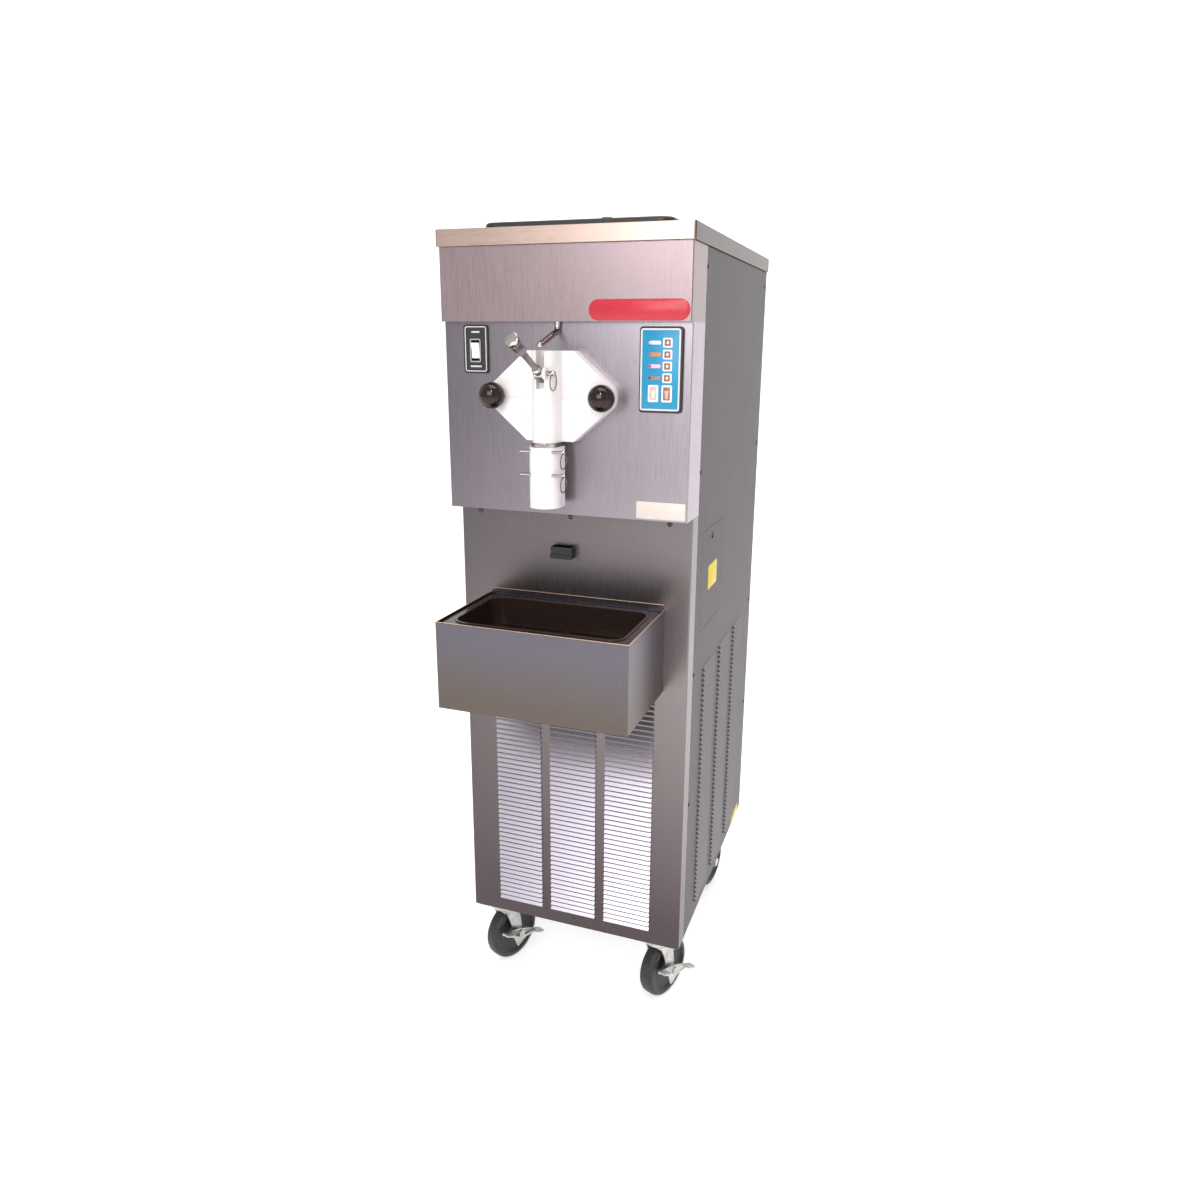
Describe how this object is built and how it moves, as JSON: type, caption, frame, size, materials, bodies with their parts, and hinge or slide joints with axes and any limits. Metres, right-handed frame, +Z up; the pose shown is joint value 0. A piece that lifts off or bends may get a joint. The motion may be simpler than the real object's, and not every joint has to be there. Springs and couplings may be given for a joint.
{
  "type": "soft_serve_freezer",
  "caption": "Floor-standing stainless shake and soft-serve freezer on casters with draw head, keypad, drip box and louvred lower panels",
  "frame": {"origin": "centre of the footprint of the bounding box, on the floor, in mm", "axes": "+X to the right seen from the front, +Y from the dispensing head to the rear panel, +Z up"},
  "size_m": [0.4773, 0.8646, 1.562],
  "materials": {
    "painted_black_steel": "satin black enamel",
    "brushed_stainless": "fine vertical brushing",
    "polished_stainless": "bright polished wire and pins",
    "zinc_steel": "bright zinc plate, pressed",
    "cast_aluminium": "as cast",
    "copper_tube": "soft drawn tube",
    "white_plastic": "moulded, light gloss",
    "black_plastic": "moulded, fine grain",
    "gloss_black_plastic": "polished phenolic",
    "black_rubber": "matt rubber",
    "caster_rubber": "solid polyurethane, satin",
    "keypad_film": "printed polyester film",
    "red_badge": "gloss raised badge"
  },
  "bodies": {
    "cabinet": {"frame": "zinc_steel", "lower_front_panel": "brushed_stainless", "front_panel": "brushed_stainless", "header_panel": "brushed_stainless", "left_side_panel": "brushed_stainless", "right_side_panel": "brushed_stainless", "rear_panel": "brushed_stainless", "access_panel": "brushed_stainless", "top_cover": "brushed_stainless", "hopper": "brushed_stainless", "freezing_cylinder": "brushed_stainless", "gearbox": "cast_aluminium", "drive_belt": "black_rubber", "drive_motor": "painted_black_steel", "condenser": "cast_aluminium", "compressor": "painted_black_steel", "refrigerant_lines": "copper_tube", "front_plate": "white_plastic", "head_studs": "polished_stainless", "spout_collar": "brushed_stainless", "spout_shroud": "white_plastic", "switch_plate": "black_plastic", "control_panel": "keypad_film", "drip_box": "brushed_stainless", "panel_screws": "zinc_steel", "cord_gland": "black_plastic", "badges": "red_badge"},
    "caster_fork_front_left": {"caster_fork_front_left": "zinc_steel"},
    "caster_wheel_front_left": {"caster_wheel_front_left": "caster_rubber"},
    "caster_brake_front_left": {"caster_brake_front_left": "zinc_steel"},
    "caster_fork_front_right": {"caster_fork_front_right": "zinc_steel"},
    "caster_wheel_front_right": {"caster_wheel_front_right": "caster_rubber"},
    "caster_brake_front_right": {"caster_brake_front_right": "zinc_steel"},
    "caster_fork_rear_left": {"caster_fork_rear_left": "zinc_steel"},
    "caster_wheel_rear_left": {"caster_wheel_rear_left": "caster_rubber"},
    "caster_fork_rear_right": {"caster_fork_rear_right": "zinc_steel"},
    "caster_wheel_rear_right": {"caster_wheel_rear_right": "caster_rubber"},
    "drip_pan": {"drip_pan": "black_plastic"},
    "drip_grid": {"drip_grid": "black_plastic"},
    "drip_drawer": {"drip_drawer": "black_plastic"},
    "hopper_lid": {"hopper_lid": "black_plastic"},
    "dasher": {"dasher": "polished_stainless"},
    "gearbox_pulley": {"gearbox_pulley": "cast_aluminium"},
    "motor_pulley": {"motor_pulley": "cast_aluminium"},
    "condenser_fan": {"condenser_fan": "cast_aluminium"},
    "knob_left": {"knob_left": "gloss_black_plastic"},
    "knob_right": {"knob_right": "gloss_black_plastic"},
    "draw_handle": {"draw_handle": "polished_stainless"},
    "plunger": {"plunger": "white_plastic"},
    "switch_arm": {"switch_arm": "polished_stainless"},
    "handle_pin": {"handle_pin": "polished_stainless"},
    "shroud_pin_upper": {"shroud_pin_upper": "polished_stainless"},
    "shroud_pin_lower": {"shroud_pin_lower": "polished_stainless"},
    "power_rocker": {"power_rocker": "white_plastic"},
    "flavour_button_1": {"flavour_button_1": "white_plastic"},
    "flavour_button_2": {"flavour_button_2": "white_plastic"},
    "flavour_button_3": {"flavour_button_3": "white_plastic"},
    "flavour_button_4": {"flavour_button_4": "white_plastic"},
    "serve_button_left": {"serve_button_left": "white_plastic"},
    "serve_button_right": {"serve_button_right": "white_plastic"}
  },
  "joints": [
    {"name": "caster_swivel_front_left", "type": "hinge", "parent": "cabinet", "child": "caster_fork_front_left", "pos_m": [-0.176, -0.1612, 0.15], "axis": [0, 0, 1], "continuous": true},
    {"name": "caster_spin_front_left", "type": "hinge", "parent": "caster_fork_front_left", "child": "caster_wheel_front_left", "pos_m": [-0.17027, -0.14626, 0.0635], "axis": [-0.9336, 0.3584, 0], "continuous": true},
    {"name": "caster_brake_pedal_front_left", "type": "hinge", "parent": "caster_fork_front_left", "child": "caster_brake_front_left", "pos_m": [-0.17027, -0.14626, 0.0635], "axis": [-0.9336, 0.3584, 0], "range_deg": [-30, 0]},
    {"name": "caster_swivel_front_right", "type": "hinge", "parent": "cabinet", "child": "caster_fork_front_right", "pos_m": [0.176, -0.1612, 0.15], "axis": [0, 0, 1], "continuous": true},
    {"name": "caster_spin_front_right", "type": "hinge", "parent": "caster_fork_front_right", "child": "caster_wheel_front_right", "pos_m": [0.18173, -0.14626, 0.0635], "axis": [-0.9336, 0.3584, 0], "continuous": true},
    {"name": "caster_brake_pedal_front_right", "type": "hinge", "parent": "caster_fork_front_right", "child": "caster_brake_front_right", "pos_m": [0.18173, -0.14626, 0.0635], "axis": [-0.9336, 0.3584, 0], "range_deg": [-30, 0]},
    {"name": "caster_swivel_rear_left", "type": "hinge", "parent": "cabinet", "child": "caster_fork_rear_left", "pos_m": [-0.176, 0.2578, 0.15], "axis": [0, 0, 1], "continuous": true},
    {"name": "caster_spin_rear_left", "type": "hinge", "parent": "caster_fork_rear_left", "child": "caster_wheel_rear_left", "pos_m": [-0.17159, 0.27318, 0.0635], "axis": [-0.9613, 0.2756, 0], "continuous": true},
    {"name": "caster_swivel_rear_right", "type": "hinge", "parent": "cabinet", "child": "caster_fork_rear_right", "pos_m": [0.176, 0.2578, 0.15], "axis": [0, 0, 1], "continuous": true},
    {"name": "caster_spin_rear_right", "type": "hinge", "parent": "caster_fork_rear_right", "child": "caster_wheel_rear_right", "pos_m": [0.17878, 0.27356, 0.0635], "axis": [-0.9848, 0.1736, 0], "continuous": true},
    {"name": "drip_pan_lift", "type": "slide", "parent": "cabinet", "child": "drip_pan", "axis": [0, 0, 1], "range_m": [0, 0.07]},
    {"name": "drip_grid_lift", "type": "slide", "parent": "drip_pan", "child": "drip_grid", "axis": [0, 0, 1], "range_m": [0, 0.05]},
    {"name": "drip_drawer_pull", "type": "slide", "parent": "cabinet", "child": "drip_drawer", "axis": [0, -1, 0], "range_m": [0, 0.25]},
    {"name": "hopper_lid_lift", "type": "slide", "parent": "cabinet", "child": "hopper_lid", "axis": [0, 0, 1], "range_m": [0, 0.2]},
    {"name": "dasher_turn", "type": "hinge", "parent": "cabinet", "child": "dasher", "pos_m": [-0.016, -0.2692, 1.244], "axis": [0, 1, 0], "continuous": true},
    {"name": "gearbox_pulley_turn", "type": "hinge", "parent": "cabinet", "child": "gearbox_pulley", "pos_m": [-0.016, 0.2388, 1.244], "axis": [0, 1, 0], "continuous": true},
    {"name": "motor_pulley_turn", "type": "hinge", "parent": "cabinet", "child": "motor_pulley", "pos_m": [0.1146, 0.2388, 1.09], "axis": [0, 1, 0], "continuous": true},
    {"name": "condenser_fan_turn", "type": "hinge", "parent": "cabinet", "child": "condenser_fan", "pos_m": [0, -0.0912, 0.367], "axis": [0, 1, 0], "continuous": true},
    {"name": "knob_left_unscrew", "type": "hinge", "parent": "cabinet", "child": "knob_left", "pos_m": [-0.117, -0.2692, 1.244], "axis": [0, 1, 0], "continuous": true},
    {"name": "knob_right_unscrew", "type": "hinge", "parent": "cabinet", "child": "knob_right", "pos_m": [0.085, -0.2692, 1.244], "axis": [0, 1, 0], "continuous": true},
    {"name": "draw_handle_pull", "type": "hinge", "parent": "cabinet", "child": "draw_handle", "pos_m": [-0.016, -0.3112, 1.284], "axis": [1, 0, 0], "range_deg": [0, 56]},
    {"name": "plunger_lift", "type": "slide", "parent": "cabinet", "child": "plunger", "axis": [0, 0, 1], "range_m": [0, 0.01927]},
    {"name": "switch_arm_swing", "type": "hinge", "parent": "cabinet", "child": "switch_arm", "pos_m": [-0.008, -0.25085, 1.3683], "axis": [0, 0, 1], "range_deg": [0, 20]},
    {"name": "handle_pin_draw", "type": "slide", "parent": "cabinet", "child": "handle_pin", "axis": [1, 0, 0], "range_m": [0, 0.05]},
    {"name": "shroud_pin_upper_draw", "type": "slide", "parent": "cabinet", "child": "shroud_pin_upper", "axis": [1, 0, 0], "range_m": [0, 0.09]},
    {"name": "shroud_pin_lower_draw", "type": "slide", "parent": "cabinet", "child": "shroud_pin_lower", "axis": [1, 0, 0], "range_m": [0, 0.09]},
    {"name": "power_rocker_rock", "type": "hinge", "parent": "cabinet", "child": "power_rocker", "pos_m": [-0.166, -0.2452, 1.31905], "axis": [-1, 0, 0], "range_deg": [0, 14]},
    {"name": "flavour_button_1_press", "type": "slide", "parent": "cabinet", "child": "flavour_button_1", "axis": [0, 1, 0], "range_m": [0, 0.001], "stiffness_N_per_m": 800, "springref_m": -0.0005},
    {"name": "flavour_button_2_press", "type": "slide", "parent": "cabinet", "child": "flavour_button_2", "axis": [0, 1, 0], "range_m": [0, 0.001], "stiffness_N_per_m": 800, "springref_m": -0.0005},
    {"name": "flavour_button_3_press", "type": "slide", "parent": "cabinet", "child": "flavour_button_3", "axis": [0, 1, 0], "range_m": [0, 0.001], "stiffness_N_per_m": 800, "springref_m": -0.0005},
    {"name": "flavour_button_4_press", "type": "slide", "parent": "cabinet", "child": "flavour_button_4", "axis": [0, 1, 0], "range_m": [0, 0.001], "stiffness_N_per_m": 800, "springref_m": -0.0005},
    {"name": "serve_button_left_press", "type": "slide", "parent": "cabinet", "child": "serve_button_left", "axis": [0, 1, 0], "range_m": [0, 0.001], "stiffness_N_per_m": 800, "springref_m": -0.0005},
    {"name": "serve_button_right_press", "type": "slide", "parent": "cabinet", "child": "serve_button_right", "axis": [0, 1, 0], "range_m": [0, 0.001], "stiffness_N_per_m": 800, "springref_m": -0.0005}
  ],
  "couplings": [
    {"joint": "gearbox_pulley_turn", "follows": "dasher_turn", "ratio": 4},
    {"joint": "motor_pulley_turn", "follows": "dasher_turn", "ratio": 9.3333},
    {"joint": "plunger_lift", "follows": "draw_handle_pull", "m_per_rad": 0.019202},
    {"joint": "switch_arm_swing", "follows": "draw_handle_pull", "ratio": 0.35714}
  ]
}
